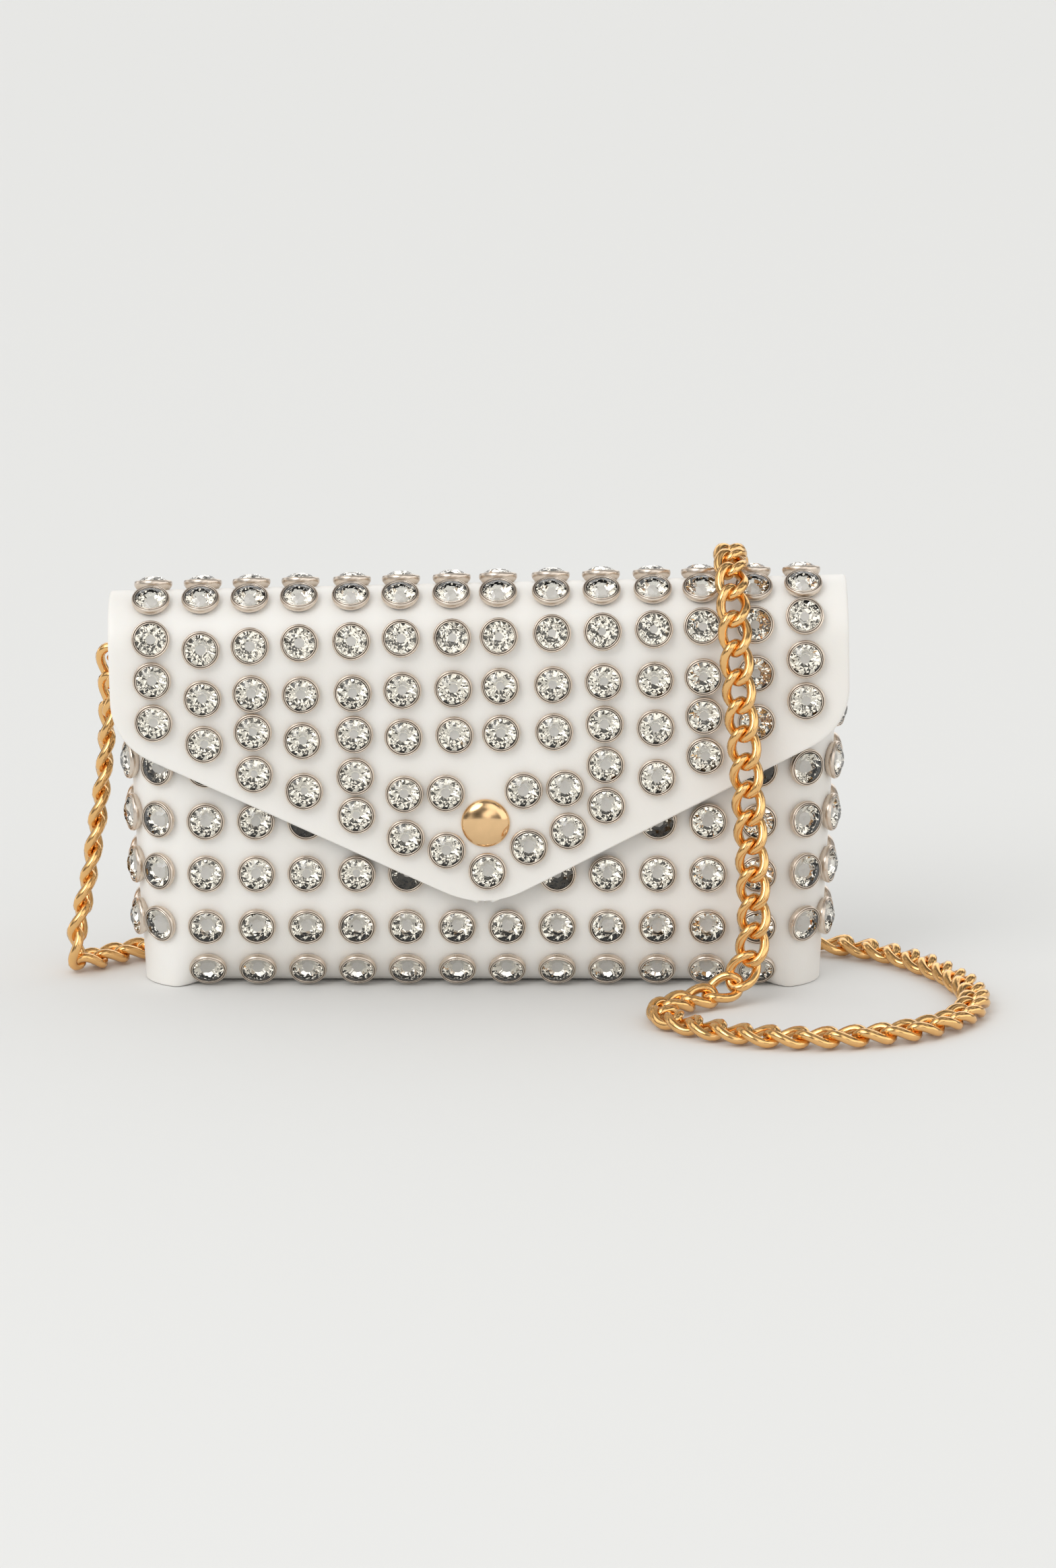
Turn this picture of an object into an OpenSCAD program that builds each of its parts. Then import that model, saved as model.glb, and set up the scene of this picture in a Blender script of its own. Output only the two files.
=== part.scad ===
// Studded envelope wallet on a chain strap.
// Frame: +Z up, the front faces -Y, origin at the middle of the flat base. Millimetres.

/* [Body] */
// Full width of the pouch at the mouth
body_w = 186; // [170:1:200]
// Full width of the pouch at the base
base_w = 177; // [165:1:195]
// Depth of the pouch over its leather
body_d = 34; // [32:1:38]
// Height of the mouth's rear edge, where the flap starts
mouth_h = 92; // [88:1:96]
// Height of the front and side walls
wall_h = 87; // [84:1:87]
// Thickness of the leather
leather_t = 1.6; // [1.2:0.1:1.8]
// Radius of the rounded sides
side_r = 16; // [14:0.5:16]
// Height over which the front and back roll in to the base
roll_h = 22; // [18:1:26]
// Width of the flat base
base_d = 10; // [8:1:14]

/* [Flap] */
// Full width of the flap
flap_w = 190; // [186:1:196]
// Height of the flap's tip above the base
flap_tip_h = 24.3; // [23.5:0.1:26]
// How far the flap slopes up towards its right end, in degrees
flap_slope = 1.3; // [0:0.1:1.5]
// Radius of the flap's front and rear folds
fold_r = 14; // [13:0.5:14]
// Room between the front wall and the flap, for the studs
flap_gap = 4.2; // [4.2:0.1:4.6]
// Radius of the flap's rounded lower corners
flap_corner_r = 17; // [12:1:20]
// Radius of the flap's tip
flap_tip_r = 24; // [16:1:28]

/* [Studs] */
// Radius of a stud's metal rim
rim_r = 4.95; // [4.2:0.05:4.95]
// Distance between columns of studs
col_pitch = 13; // [12.9:0.1:13.2]
// Distance between rows on the body
row_pitch = 13.9; // [13:0.1:14]
// Height of the lowest full row on the body
row_first_h = 17.3; // [17:0.1:18]

/* [Snap] */
// Radius of the snap's domed cap
cap_r = 6.3; // [5.5:0.1:6.4]
// Height of the snap above the base
snap_h = 45.8; // [45.5:0.1:46.2]

/* [Strap] */
// Diameter of the plain tube that stands for the chain
chain_tube_d = 5; // [4:0.5:5]
// Radius of the wire of the D-rings
ring_wire_r = 1.1; // [0.9:0.1:1.1]
// Radius of the D-rings' bow
ring_r = 6.5; // [6.3:0.1:6.6]

/* [Hidden] */
$fn = 48;

half_d = body_d / 2;
lining_t = 0.6;
lining_gap = 0.15;

// Flap sections: y and z of the two fold centres, and the outer faces.
front_face_y = -(half_d + flap_gap + leather_t);
fold_y = front_face_y + fold_r;
rear_face_y = fold_y + fold_r;
split_angle = 78;    // turn from the front level to the line where the flap unfolds
joint_gap = 0.3;

cols = 14;
flap_x = -0.1;
leather_x = -0.7;   // the flap's leather sits a little to the left of its studs
col_x = [for (i = [0:cols - 1]) (i - (cols - 1) / 2) * col_pitch];
body_rows = 5;
row_h = [for (i = [0:body_rows - 1]) row_first_h + i * row_pitch];
low_row_s = 41.5;      // angle round the base roll of the lowest row
side_angles = [71, 109];
outer_x = 84.3;   // the outer columns' distance from the middle, at the stones
setting_h = 2.1;     // height of a stud's metal cup
stone_top = 3.4;     // height of a stone's table over the leather

// The strap's anchors: the D-rings' upright bars, at the body's rear corners.
function ring_at(way) = way > 0 ? [88.5, 12.4, 82] : [-88, 11.5, 82.5];
function bow_r(way) = way > 0 ? ring_r : ring_r - 1.1;
jump_r = 3.2;
jump_wire_r = 0.9;
chain_lie_h = 3;

// ---------------------------------------------------------------- body sheets

function smooth(a, b, v) = let (t = max(0, min(1, (v - a) / (b - a)))) t * t * (3 - 2 * t);

function half_width(z) = (base_w + (body_w - base_w) * z / mouth_h) / 2;

// Half outline from the left side seam round one face to the right side seam, at the mouth's width.
function outline(inset) =
  let (w = body_w / 2 - inset, d = half_d - inset, r = side_r - inset)
  concat(
    [[-w, 0]],
    [for (a = [0:15:90]) [-(w - r) - r * cos(a), (d - r) + r * sin(a)]],
    [for (k = [-3:3]) [k * (w - r) / 4, d]],
    [for (a = [90:-15:0]) [(w - r) + r * cos(a), (d - r) + r * sin(a)]],
    [[w, 0]]
  );

// How far the section at roll angle s has opened out, 1 where the wall stands upright.
function roll_share(s) = (base_d / 2 + (half_d - base_d / 2) * sin(s)) / half_d;

// The roll is tighter in the folded corners, so the leather reaches the ground there.
function roll_y(x, s) = 1 - (1 - roll_share(s)) * (1 - 0.9 * smooth(74, 85, abs(x)));

// The back wall leans in towards the mouth by this much at a height.
function lean(side, z) =
  side < 0 ? 0 : (half_d - rear_face_y) * max(0, z - roll_h) / (mouth_h - roll_h);

function sheet_point(p, side, s, z, d) =
  [p[0] * half_width(z) / (body_w / 2), side * p[1] * (roll_y(p[0], s) - lean(side, z) / d), z];

// The back wall's top edge slopes with the flap.
function edge_z(p, side, z) = side < 0 ? z : z + p[0] * tan(flap_slope);

// Rows of points from the base seam up to the mouth, for a sheet inset from the outer face.
function sheet_rows(inset, side, low, top) =
  let (o = outline(inset), d = half_d - inset)
  concat(
    [[for (p = o) [sheet_point(p, side, 0, low, d)[0], 0, low]]],
    [for (s = [0:15:90]) [for (p = o) sheet_point(p, side, s, low + (roll_h - low) * (1 - cos(s)), d)]],
    [[for (p = o) sheet_point(p, side, 90, (roll_h + top) / 2, d)]],
    [[for (p = o) sheet_point(p, side, 90, edge_z(p, side, top), d)]]
  );

// A closed sheet between an outer and an inner grid of points.
module sheet(outer, inner, flip) {
  m = len(outer);
  n = len(outer[0]);
  pts = concat([for (r = outer) each r], [for (r = inner) each r]);
  far = m * n;
  function quad(a, b, c, d) = flip ? [[a, c, b], [a, d, c]] : [[a, b, c], [a, c, d]];
  faces = [
    for (j = [0:m - 2]) for (i = [0:n - 2]) let (a = j * n + i, b = a + 1, c = b + n, d = a + n)
      each concat(quad(a, b, c, d), quad(far + a, far + d, far + c, far + b)),
    for (i = [0:n - 2]) let (t = (m - 1) * n + i)
      each concat(quad(i + 1, i, far + i, far + i + 1), quad(t, t + 1, far + t + 1, far + t)),
    for (j = [0:m - 2]) let (a = j * n, d = a + n, b = a + n - 1, c = b + n)
      each concat(quad(a, d, far + d, far + a), quad(c, b, far + b, far + c))
  ];
  polyhedron(points = pts, faces = faces, convexity = 6);
}

module pouch_half(side, inset, t, low, top) {
  sheet(sheet_rows(inset, side, low, top), sheet_rows(inset + t, side, low + t, top), side < 0);
}

module front_shell() { color("ivory") pouch_half(-1, 0, leather_t, 0, wall_h); }
module back_shell() { color("ivory") pouch_half(1, 0, leather_t, 0, mouth_h); }

lining_in = leather_t + lining_gap;
module front_lining() { color("wheat") pouch_half(-1, lining_in, lining_t, lining_in + board_t, wall_h - 1); }
module back_lining() { color("wheat") pouch_half(1, lining_in, lining_t, lining_in + board_t, mouth_h - 1); }

// A stiff board that keeps the base flat.
board_t = 1;
module base_board() {
  color("tan") translate([-base_w / 2 + 12, -4.2, leather_t + 0.05])
    cube([base_w - 24, 8.4, board_t]);
}

// Two flat pockets inside, sewn to the leaning back lining.
back_inner_y = half_d - lining_in - lining_t;
lean_angle = atan((half_d - rear_face_y) / (mouth_h - roll_h));
module pocket(w, h, gap) {
  translate([0, back_inner_y, roll_h]) rotate([lean_angle, 0, 0])
    translate([-w / 2, -gap - lining_t, 5]) cube([w, lining_t, h]);
}
module slip_pocket() { color("wheat") pocket(124, 46, 0.15); }
module card_pocket() { color("wheat") pocket(92, 34, 0.9); }

// A narrow leather strip that finishes the front wall's top edge.
module mouth_binding() {
  w = half_width(wall_h) - side_r;
  color("ivory") translate([-w, -half_d, wall_h + 0.02]) cube([2 * w, leather_t + lining_gap + lining_t, 0.9]);
}

// ---------------------------------------------------------------- studs

// One metal cup that flares to its rim, standing on z = 0.
module setting() {
  cylinder(r1 = 3.3, r2 = rim_r, h = setting_h, $fn = 24);
}

// One cut stone's crown, from its girdle on the cup up to its table.
module stone() {
  translate([0, 0, setting_h]) cylinder(r1 = rim_r - 0.5, r2 = 2.4, h = stone_top - setting_h, $fn = 24);
}

// Places children so that their +Z points out of a wall.
module on_front(x, y, z, tilt = 0) { translate([x, y, z]) rotate([90 + tilt, 0, 0]) children(); }
module on_back(x, y, z) { translate([x, y, z]) rotate([-90, 0, 0]) children(); }

// Height of a point of the base roll, and how far its normal points down.
roll_z = roll_h * (1 - cos(low_row_s));
roll_tilt = atan((cos(low_row_s) / roll_h) / (sin(low_row_s) / (half_d - base_d / 2)));
first_tilt = 10;     // the lowest full row sits where the roll begins

// Full rows on one face: the outer columns turn with the body's corner.
module face_studs(side, low_row) {
  // the two studs where the snap sits are left out in front
  for (h = row_h) for (i = [0:cols - 1]) if (side > 0 || h != row_h[2] || abs(col_x[i]) > col_pitch) {
    outer = i == 0 || i == cols - 1;
    way = i == 0 ? -1 : 1;
    cx = half_width(h) - side_r;
    bend = outer ? asin((outer_x - cx) / (side_r + 2)) : 0;   // round the body's corner
    turn = way * bend;
    x = outer ? way * (cx + side_r * sin(bend)) : col_x[i];
    y = half_d - side_r + side_r * cos(bend);
    dip = h == row_first_h ? first_tilt : side < 0 ? 0 : -lean_angle;
    y_in = h == row_first_h ? 0.4 : lean(side, h) * y / half_d;
    translate([x, side * (y - y_in), h]) rotate([0, 0, -side * turn])
      rotate([side < 0 ? 90 + dip : -90 - dip, 0, 0]) children();
  }
  if (low_row) for (i = [1:cols - 2])
    translate([col_x[i], side * half_d * roll_share(low_row_s), roll_z])
      rotate([side < 0 ? 90 + roll_tilt : -90 - roll_tilt, 0, 0]) children();
}

module front_settings() { color("silver") face_studs(-1, true) setting(); }
module front_stones() { color("whitesmoke") face_studs(-1, true) stone(); }
module back_settings() { color("silver") face_studs(1, true) setting(); }
module back_stones() { color("whitesmoke") face_studs(1, true) stone(); }

// Two columns of studs round each side.
module side_studs(way) {
  for (h = row_h) for (a = side_angles) {
    cx = half_width(h) - side_r;
    cy = a < 90 ? -(half_d - side_r) : half_d - side_r;
    y = cy - cos(a) * side_r;
    in = y < 0 ? 0 : lean(1, h) * y / half_d;
    translate([way * (cx + side_r * sin(a)), y - in, h]) rotate([90, 0, way * a]) children();
  }
}
module side_settings_left() { color("silver") side_studs(-1) setting(); }
module side_stones_left() { color("whitesmoke") side_studs(-1) stone(); }
module side_settings_right() { color("silver") side_studs(1) setting(); }
module side_stones_right() { color("whitesmoke") side_studs(1) stone(); }

// ---------------------------------------------------------------- flap

// Everything on the flap slopes up towards its right end.
module sloped() { translate([flap_x, 0, mouth_h]) rotate([0, -flap_slope, 0]) translate([0, 0, -mouth_h]) children(); }

// A bent sheet whose fold runs along X, between two turns from the front level.
module fold_sheet(r, t, w, a0, a1) {
  function far(a) = [-40 * cos(a), 40 * sin(a)];
  translate([-w / 2 + leather_x, fold_y, mouth_h]) rotate([90, 0, 90]) linear_extrude(height = w)
    intersection() {
      difference() {
        circle(r = r);
        circle(r = r - t);
      }
      polygon([[0, 0], far(a0), far((a0 + a1) / 2), far(a1)]);
    }
}

// The flap's outline in x and z below the front fold, as one half-turned envelope point.
module flap_outline(inset) {
  w = flap_w / 2 - inset;
  corner_z = 78.5;
  intersection() {
   translate([-100, 0]) square([200, mouth_h]);
   hull() {
    translate([-w, mouth_h - 1]) square([2 * w, 1]);
    for (k = [-1, 1]) translate([k * (flap_w / 2 - flap_corner_r), corner_z])
      circle(r = flap_corner_r - inset, $fn = 32);
    translate([0, flap_tip_h + flap_tip_r]) circle(r = flap_tip_r - inset, $fn = 40);
   }
  }
}

module flap_plate(face_y, t, inset) {
  translate([leather_x, face_y + t, 0]) rotate([90, 0, 0]) linear_extrude(height = t) flap_outline(inset);
}

gap_turn = joint_gap / fold_r * 180 / PI;
module flap_front() {
  color("ivory") sloped() union() {
    flap_plate(front_face_y, leather_t, 0);
    fold_sheet(fold_r, leather_t, flap_w, 0, split_angle);
  }
}
module flap_front_lining() {
  color("dimgray") sloped() difference() {
    flap_plate(front_face_y + leather_t + 0.06, lining_t - 0.1, 1);
    translate([0, 0, snap_h]) rotate([90, 0, 0]) cylinder(r = 5.2, h = 100, center = true);
  }
}

module flap_top() {
  color("ivory") sloped() fold_sheet(fold_r, leather_t, flap_w, split_angle + gap_turn, 180 - gap_turn);
}
module flap_top_lining() {
  color("dimgray") sloped()
    fold_sheet(fold_r - leather_t - 0.06, lining_t, flap_w - 2, split_angle + gap_turn + 1, 180 - gap_turn - 1);
}

// Studs on the flap: along each column, heights of the studs on the flat part.
flap_front_cols = [
  [-84.6, 95.6, 85.2, 74.2], [-71.8, 92.9, 80.2, 68.3], [-59.2, 93.5, 81.3, 71.2, 60.2],
  [-46.5, 94, 80.7, 68.7, 55.4], [-33.2, 94.2, 80.9, 70.1, 59.1, 48.8], [-20.5, 94.6, 81.3, 69.1],
  [-7.4, 94.5, 81.4, 69.3], [4.6, 94.5, 81.8, 69.5], [18.2, 95, 81.9, 69.6],
  [31.2, 95.1, 82.4, 71.3, 60.6, 49.9], [44.3, 95.4, 82.5, 70, 57], [56.8, 95.8, 83.1, 72.9, 62.4],
  [70.2, 95.9, 83.7, 70.9], [83, 97.6, 87.2, 76.2]
];
// Studs set round the snap, in x and height.
flap_point_studs = [
  [-20.7, 54.1], [-10, 54.1], [-20.7, 42.5], [-10.2, 39], [0.2, 33.2], [10, 54.3], [20.7, 54.7],
  [11, 39.4], [21.3, 43.4]
];
fold_row_angle = 58;   // turn of the row on the front fold
rear_row_angles = [104, 148];

// Height of a stud above the fold's centre line turns it round the fold.
module on_flap(x, h) {
  if (h <= mouth_h) on_front(x, front_face_y, h) children();
  else let (a = asin((h - mouth_h) / fold_r)) on_fold(x, a) children();
}
module on_fold(x, a) {
  translate([x, fold_y - fold_r * cos(a), mouth_h + fold_r * sin(a)])
    rotate([90 - a, 0, 0]) children();
}
module flap_front_studs() {
  for (c = flap_front_cols) for (k = [1:len(c) - 1]) on_flap(c[0], c[k]) children();
  for (p = flap_point_studs) on_flap(p[0], p[1]) children();
  for (c = flap_front_cols) on_fold(c[0], fold_row_angle + (c[0] > 80 ? 3 : 0)) children();
}
module flap_settings() { color("silver") sloped() flap_front_studs() setting(); }
module flap_stones() { color("whitesmoke") sloped() flap_front_studs() stone(); }

module flap_top_studs() {
  // the rear row has no end studs, where the D-rings are
  for (c = flap_front_cols) for (a = rear_row_angles)
    if (a < 120 || abs(c[0]) < 80) on_fold(c[0], a) children();
}
module flap_top_settings() { color("silver") sloped() flap_top_studs() setting(); }
module flap_top_stones() { color("whitesmoke") sloped() flap_top_studs() stone(); }

// ---------------------------------------------------------------- snap

snap_x = flap_x + (mouth_h - snap_h) * sin(flap_slope);
module at_snap(y) { translate([snap_x, y, snap_h]) rotate([90, 0, 0]) children(); }

// Domed cap with its rivet through the flap. +Z of the profile points forward.
module snap_cap() {
  dome_h = 2.4;
  color("gold") at_snap(front_face_y) rotate_extrude() polygon(concat(
    [[0, -1.5], [1.2, -1.5], [1.2, 0], [cap_r - 0.4, 0]],
    [for (a = [0:10:90]) [cap_r * cos(a), 0.4 + dome_h * sin(a)]]
  ));
}

// The female half behind the flap: a flanged ring whose hollow takes the stud's head.
socket_back = leather_t + 0.06;
module snap_socket() {
  color("gold") at_snap(front_face_y + socket_back) rotate_extrude()
    polygon([[2.1, -2.1], [3.4, -2.1], [3.8, -0.7], [5, -0.6], [5, -0.02], [1.5, -0.02], [1.5, -0.5], [2.1, -0.8]]);
}

// The male half on the front wall, with a flange, a neck and a round head.
module snap_stud() {
  color("gold") at_snap(-half_d) rotate_extrude()
    polygon([[0, 0.02], [4.6, 0.02], [4.6, 0.5], [1.7, 0.8], [1.4, 1.6], [1.8, 2.2], [1.7, 2.6], [1.2, 2.8], [0, 2.8]]);
}

// The post that rivets the male half through the front wall.
module snap_post() {
  color("gold") at_snap(-half_d) rotate_extrude()
    polygon([[0, 0], [1.3, 0], [1.3, -leather_t], [4.2, -leather_t], [4.2, -leather_t - 0.1], [0, -leather_t - 0.1]]);
}

// ---------------------------------------------------------------- strap hardware

// A leather tab folded round the ring's upright bar, sewn to the rear corner.
tab_out = 2.2;
function tab_turn(way) = way > 0 ? -90 : -74;
module ring_tab(way) {
  tall = way > 0 ? 8 : 6;
  color("ivory") translate(ring_at(way) - [0, 0, tall / 2]) rotate([0, 0, tab_turn(way)])
    linear_extrude(height = tall) difference() {
      union() {
        circle(r = tab_out);
        translate([0, -1.5]) square([way > 0 ? 8.4 : 7.2, 3]);
      }
      circle(r = ring_wire_r + 0.08);
    }
}
module ring_tab_left() { ring_tab(-1); }
module ring_tab_right() { ring_tab(1); }

// A small rivet through each tab.
module tab_rivet(way) {
  along = way > 0 ? 5 : 4.3;
  a = tab_turn(way);
  color("gold") translate(ring_at(way) + along * [cos(a), sin(a), 0])
    rotate([90, 0, a]) union() {
      cylinder(r = 0.7, h = 3.6, center = true);
      for (k = [-1, 1]) translate([0, 0, k * 1.85]) cylinder(r = 1.3, h = 0.5, center = true);
    }
}
module tab_rivet_left() { tab_rivet(-1); }
module tab_rivet_right() { tab_rivet(1); }

// A D-ring: upright bar on the origin, bow towards -X.
module d_ring(way) {
  r = bow_r(way);
  color("gold") translate(ring_at(way)) union() {
    cylinder(r = ring_wire_r, h = 2 * r, center = true);
    for (k = [-1, 1]) translate([0, 0, k * r]) sphere(r = ring_wire_r);
    intersection() {
      rotate([90, 0, 0]) rotate_extrude() translate([r, 0]) circle(r = ring_wire_r, $fn = 24);
      translate([-2 * r, -r, -2 * r]) cube([2 * r, 2 * r, 4 * r]);
    }
  }
}
// The bows lie along the back wall, both towards -X.
module d_ring_right() { d_ring(1); }
module d_ring_left() { d_ring(-1); }

module jump_ring(way) {
  reach = bow_r(way) + jump_r - jump_wire_r - ring_wire_r - (way > 0 ? 0.3 : 0.1);
  color("gold") translate(ring_at(way) - [reach, 0, 0])
    rotate_extrude() translate([jump_r, 0]) circle(r = jump_wire_r, $fn = 24);
}
module jump_ring_right() { jump_ring(1); }
module jump_ring_left() { jump_ring(-1); }

// ---------------------------------------------------------------- chain

// A tube of 8 sides swept along a route, with its rings square to the route.
module tube(route, d) {
  sides = 8;
  last = len(route) - 1;
  function unit(v) = v / norm(v);
  function way(k) = unit(route[min(k + 1, last)] - route[max(k - 1, 0)]);
  function across(k) = let (t = way(k), u = abs(t[2]) > 0.8 ? [0, 1, 0] : [0, 0, 1]) unit(cross(t, u));
  // Each ring's first spoke is the one before it, laid flat on the ring's own plane.
  function carry(k) = k == 0 ? across(0) : let (p = carry(k - 1), t = way(k)) unit(p - (p * t) * t);
  pts = [for (k = [0:last]) let (t = way(k), a = carry(k), b = cross(t, a))
    each [for (i = [0:sides - 1]) route[k] + d / 2 * (cos(360 * i / sides) * a + sin(360 * i / sides) * b)]];
  walls = [for (k = [0:last - 1]) for (i = [0:sides - 1])
    let (j = (i + 1) % sides, a = k * sides + i, b = k * sides + j)
    each [[a, a + sides, b + sides], [a, b + sides, b]]];
  caps = [[for (i = [0:sides - 1]) i], [for (i = [sides - 1:-1:0]) last * sides + i]];
  polyhedron(points = pts, faces = concat(walls, caps), convexity = 8);
}

// From the left D-ring down to the ground, and behind the body to its right rear corner.
left_route = [
  [-98.2, 11.5, 80.6], [-98.3, 11, 72], [-98.7, 10.2, 62], [-100.1, 8.8, 49], [-102.1, 6.8, 35],
  [-104.2, 4.2, 22], [-106.6, 1.4, 11], [-106.6, 1.2, 4.6], [-102, 6, 3], [-93, 14.2, 3],
  [-83, 22, 3], [-72, 26, 3], [-55, 28, 3], [-36, 27.5, 3], [-16, 26.5, 3], [4, 27, 3],
  [24, 28, 3], [44, 28.5, 3], [62, 28, 3], [77, 26, 3], [87.5, 22.8, 3]
];
// From there round in front, up over the flap, and down behind to the right D-ring.
right_route = [
  [90.5, 21.8, 3], [99, 18, 3], [108, 10, 3], [116.5, -2, 3], [123, -16, 3], [126.5, -31, 3],
  [125.5, -46, 3], [119, -59, 3], [108.5, -68.5, 3], [96, -74, 3], [83, -76, 3], [70, -73.5, 3],
  [58.5, -67, 3], [49.5, -58.5, 3], [45.5, -50, 3], [48.5, -42, 3], [56, -36.5, 3.2],
  [64, -33, 4.6], [69, -31, 9], [70, -30, 17], [69.5, -30, 29], [68.8, -30, 41],
  [68, -30.3, 53], [67, -31, 66], [66, -31.4, 79], [65, -31.2, 91], [64.4, -28.4, 101.5],
  [64, -20.5, 110.5], [64, -8.4, 114.4], [64.5, 3, 111.8], [66, 11.2, 104.8], [69, 14.6, 96.5],
  [71, 15.2, 89.2], [74.9, 13.5, 83.4]
];
module strap_chain_left() { color("gold") tube(left_route, chain_tube_d); }
module strap_chain_right() { color("gold") tube(right_route, chain_tube_d); }

// ---------------------------------------------------------------- nodes

front_shell();
back_shell();
base_board();
front_lining();
back_lining();
slip_pocket();
card_pocket();
mouth_binding();
front_settings();
front_stones();
back_settings();
back_stones();
side_settings_left();
side_stones_left();
side_settings_right();
side_stones_right();
snap_stud();
snap_post();
ring_tab_left();
ring_tab_right();
tab_rivet_left();
tab_rivet_right();
strap_chain_left();
flap_top();
flap_top_lining();
flap_top_settings();
flap_top_stones();
flap_front();
flap_front_lining();
flap_settings();
flap_stones();
snap_cap();
snap_socket();
d_ring_left();
jump_ring_left();
d_ring_right();
jump_ring_right();
strap_chain_right();
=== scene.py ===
import math

import bpy
import numpy as np
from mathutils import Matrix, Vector


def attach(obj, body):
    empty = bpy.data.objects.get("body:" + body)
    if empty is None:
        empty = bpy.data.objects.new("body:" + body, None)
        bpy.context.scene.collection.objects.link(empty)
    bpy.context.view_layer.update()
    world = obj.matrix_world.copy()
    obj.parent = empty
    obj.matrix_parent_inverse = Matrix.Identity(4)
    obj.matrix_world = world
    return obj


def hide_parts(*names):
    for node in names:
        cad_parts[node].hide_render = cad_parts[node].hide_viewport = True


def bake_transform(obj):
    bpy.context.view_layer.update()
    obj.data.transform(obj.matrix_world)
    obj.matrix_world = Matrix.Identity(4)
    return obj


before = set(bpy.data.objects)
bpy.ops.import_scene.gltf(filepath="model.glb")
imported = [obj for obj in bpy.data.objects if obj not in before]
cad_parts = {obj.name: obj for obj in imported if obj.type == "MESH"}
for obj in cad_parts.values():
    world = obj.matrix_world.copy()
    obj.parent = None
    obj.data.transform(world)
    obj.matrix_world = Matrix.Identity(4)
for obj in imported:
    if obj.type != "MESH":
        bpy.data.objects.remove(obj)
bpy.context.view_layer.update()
MM = 0.001
rng = np.random.default_rng(7)

# ------------------------------------------------------------------ sizes, in mm
BODY_W, BASE_W, BODY_D = 186.0, 177.0, 34.0   # width at the mouth and at the base, depth
MOUTH_H, WALL_H, T = 92.0, 87.0, 1.6          # tops of the back and front walls, leather
SIDE_R, ROLL_H, BASE_D = 16.0, 22.0, 10.0     # side corners, height of the base's roll, flat base
FOOT_FROM, FOOT_TO, FOOT_OUT = 74, 85, 0.9    # where the folded corners bring the foot out
FLAP_W, TIP_H, FOLD_R = 190.0, 24.3, 14.0     # the flap's width, its lowest point, its fold
FLAP_GAP, CORNER_R, TIP_R, CORNER_Z = 4.2, 17.0, 24.0, 78.5
HALF_D = BODY_D / 2
FRONT_Y = -(HALF_D + FLAP_GAP + T)            # the flap's front face
FOLD_Y = FRONT_Y + FOLD_R                     # the fold's axis
REAR_Y = FOLD_Y + FOLD_R                      # the flap's rear face
SLOPE = math.radians(1.3)                     # the flap's right end is higher
LEAN = HALF_D - REAR_Y
TOP_H = MOUTH_H + FOLD_R
SEAM_DEG = 26                                 # the flap's seam, behind the crest
LAP, LAP_GAP = 1.05, 0.05                     # the flap's rear edge, lapped on the back wall
SNAP = (0.0, 45.8)
WIRE, PITCH = 2.5, 7.5                        # the chain's wire and its links' spacing
LINK_HALF_W, LINK_TWIST = 3.2, math.radians(46)
LINK_STEPS, WIRE_SIDES = 26, 8
COLS, COL_PITCH = 14, 13.0
SNAP_ROW = 2
ROW_H = [17.3 + 13.9 * i for i in range(5)]
COL_X = [(i - (COLS - 1) / 2) * COL_PITCH for i in range(COLS)]
LOW_S = math.radians(41.5)                    # the lowest row's place on the roll
LOW_DIP, LOW_SINK = math.radians(10), 0.4     # how the row above it dips and sinks in
OUTER_X = 84.3                                # the end columns, on the side corners
SIDE_DEG = (71, 109)
END_X = 80                                    # beyond it, a column is an end column
FOLD_ROW, FOLD_ROW_END = 58, 3                # degrees round the fold, more at the ends
CREST_ROWS = (104, 148)
FLAP_X, LEATHER_X = -0.1, -0.7                # sideways settings of the flap's studs and leather

# the flap's columns of studs, as x and then the height of each along the sheet
FLAP_COLS = [
    [-84.6, 95.6, 85.2, 74.2], [-71.8, 92.9, 80.2, 68.3], [-59.2, 93.5, 81.3, 71.2, 60.2],
    [-46.5, 94, 80.7, 68.7, 55.4], [-33.2, 94.2, 80.9, 70.1, 59.1, 48.8],
    [-20.5, 94.6, 81.3, 69.1],
    [-7.4, 94.5, 81.4, 69.3], [4.6, 94.5, 81.8, 69.5], [18.2, 95, 81.9, 69.6],
    [31.2, 95.1, 82.4, 71.3, 60.6, 49.9], [44.3, 95.4, 82.5, 70, 57],
    [56.8, 95.8, 83.1, 72.9, 62.4], [70.2, 95.9, 83.7, 70.9], [83, 97.6, 87.2, 76.2],
]
# the studs round the snap, as x and height
FLAP_POINT = [
    (-20.7, 54.1), (-10, 54.1), (-20.7, 42.5), (-10.2, 39), (0.2, 33.2), (10, 54.3),
    (20.7, 54.7), (11, 39.4), (21.3, 43.4),
]


def v3(*a):
    return np.array(a, float)


def unit(v):
    v = np.asarray(v, float)
    return v / max(np.linalg.norm(v), 1e-9)


def smooth(a, b, v):
    t = np.clip((v - a) / (b - a), 0, 1)
    return t * t * (3 - 2 * t)


# ------------------------------------------------------------------ meshes
def mesh(name, verts, faces, mats, index=None, shade=True):
    me = bpy.data.meshes.new(name)
    me.from_pydata((np.asarray(verts, float) * MM).tolist(), [], [list(map(int, f)) for f in faces])
    for m in mats:
        me.materials.append(m)
    if index is not None:
        me.polygons.foreach_set("material_index", np.asarray(index, np.int32))
    me.polygons.foreach_set("use_smooth", [bool(shade)] * len(me.polygons))
    me.update()
    o = bpy.data.objects.new(name, me)
    bpy.context.scene.collection.objects.link(o)
    return o


OUTER_SHARE = 0.45   # how much of a sheet's rounded edge keeps the outer face's material


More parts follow.
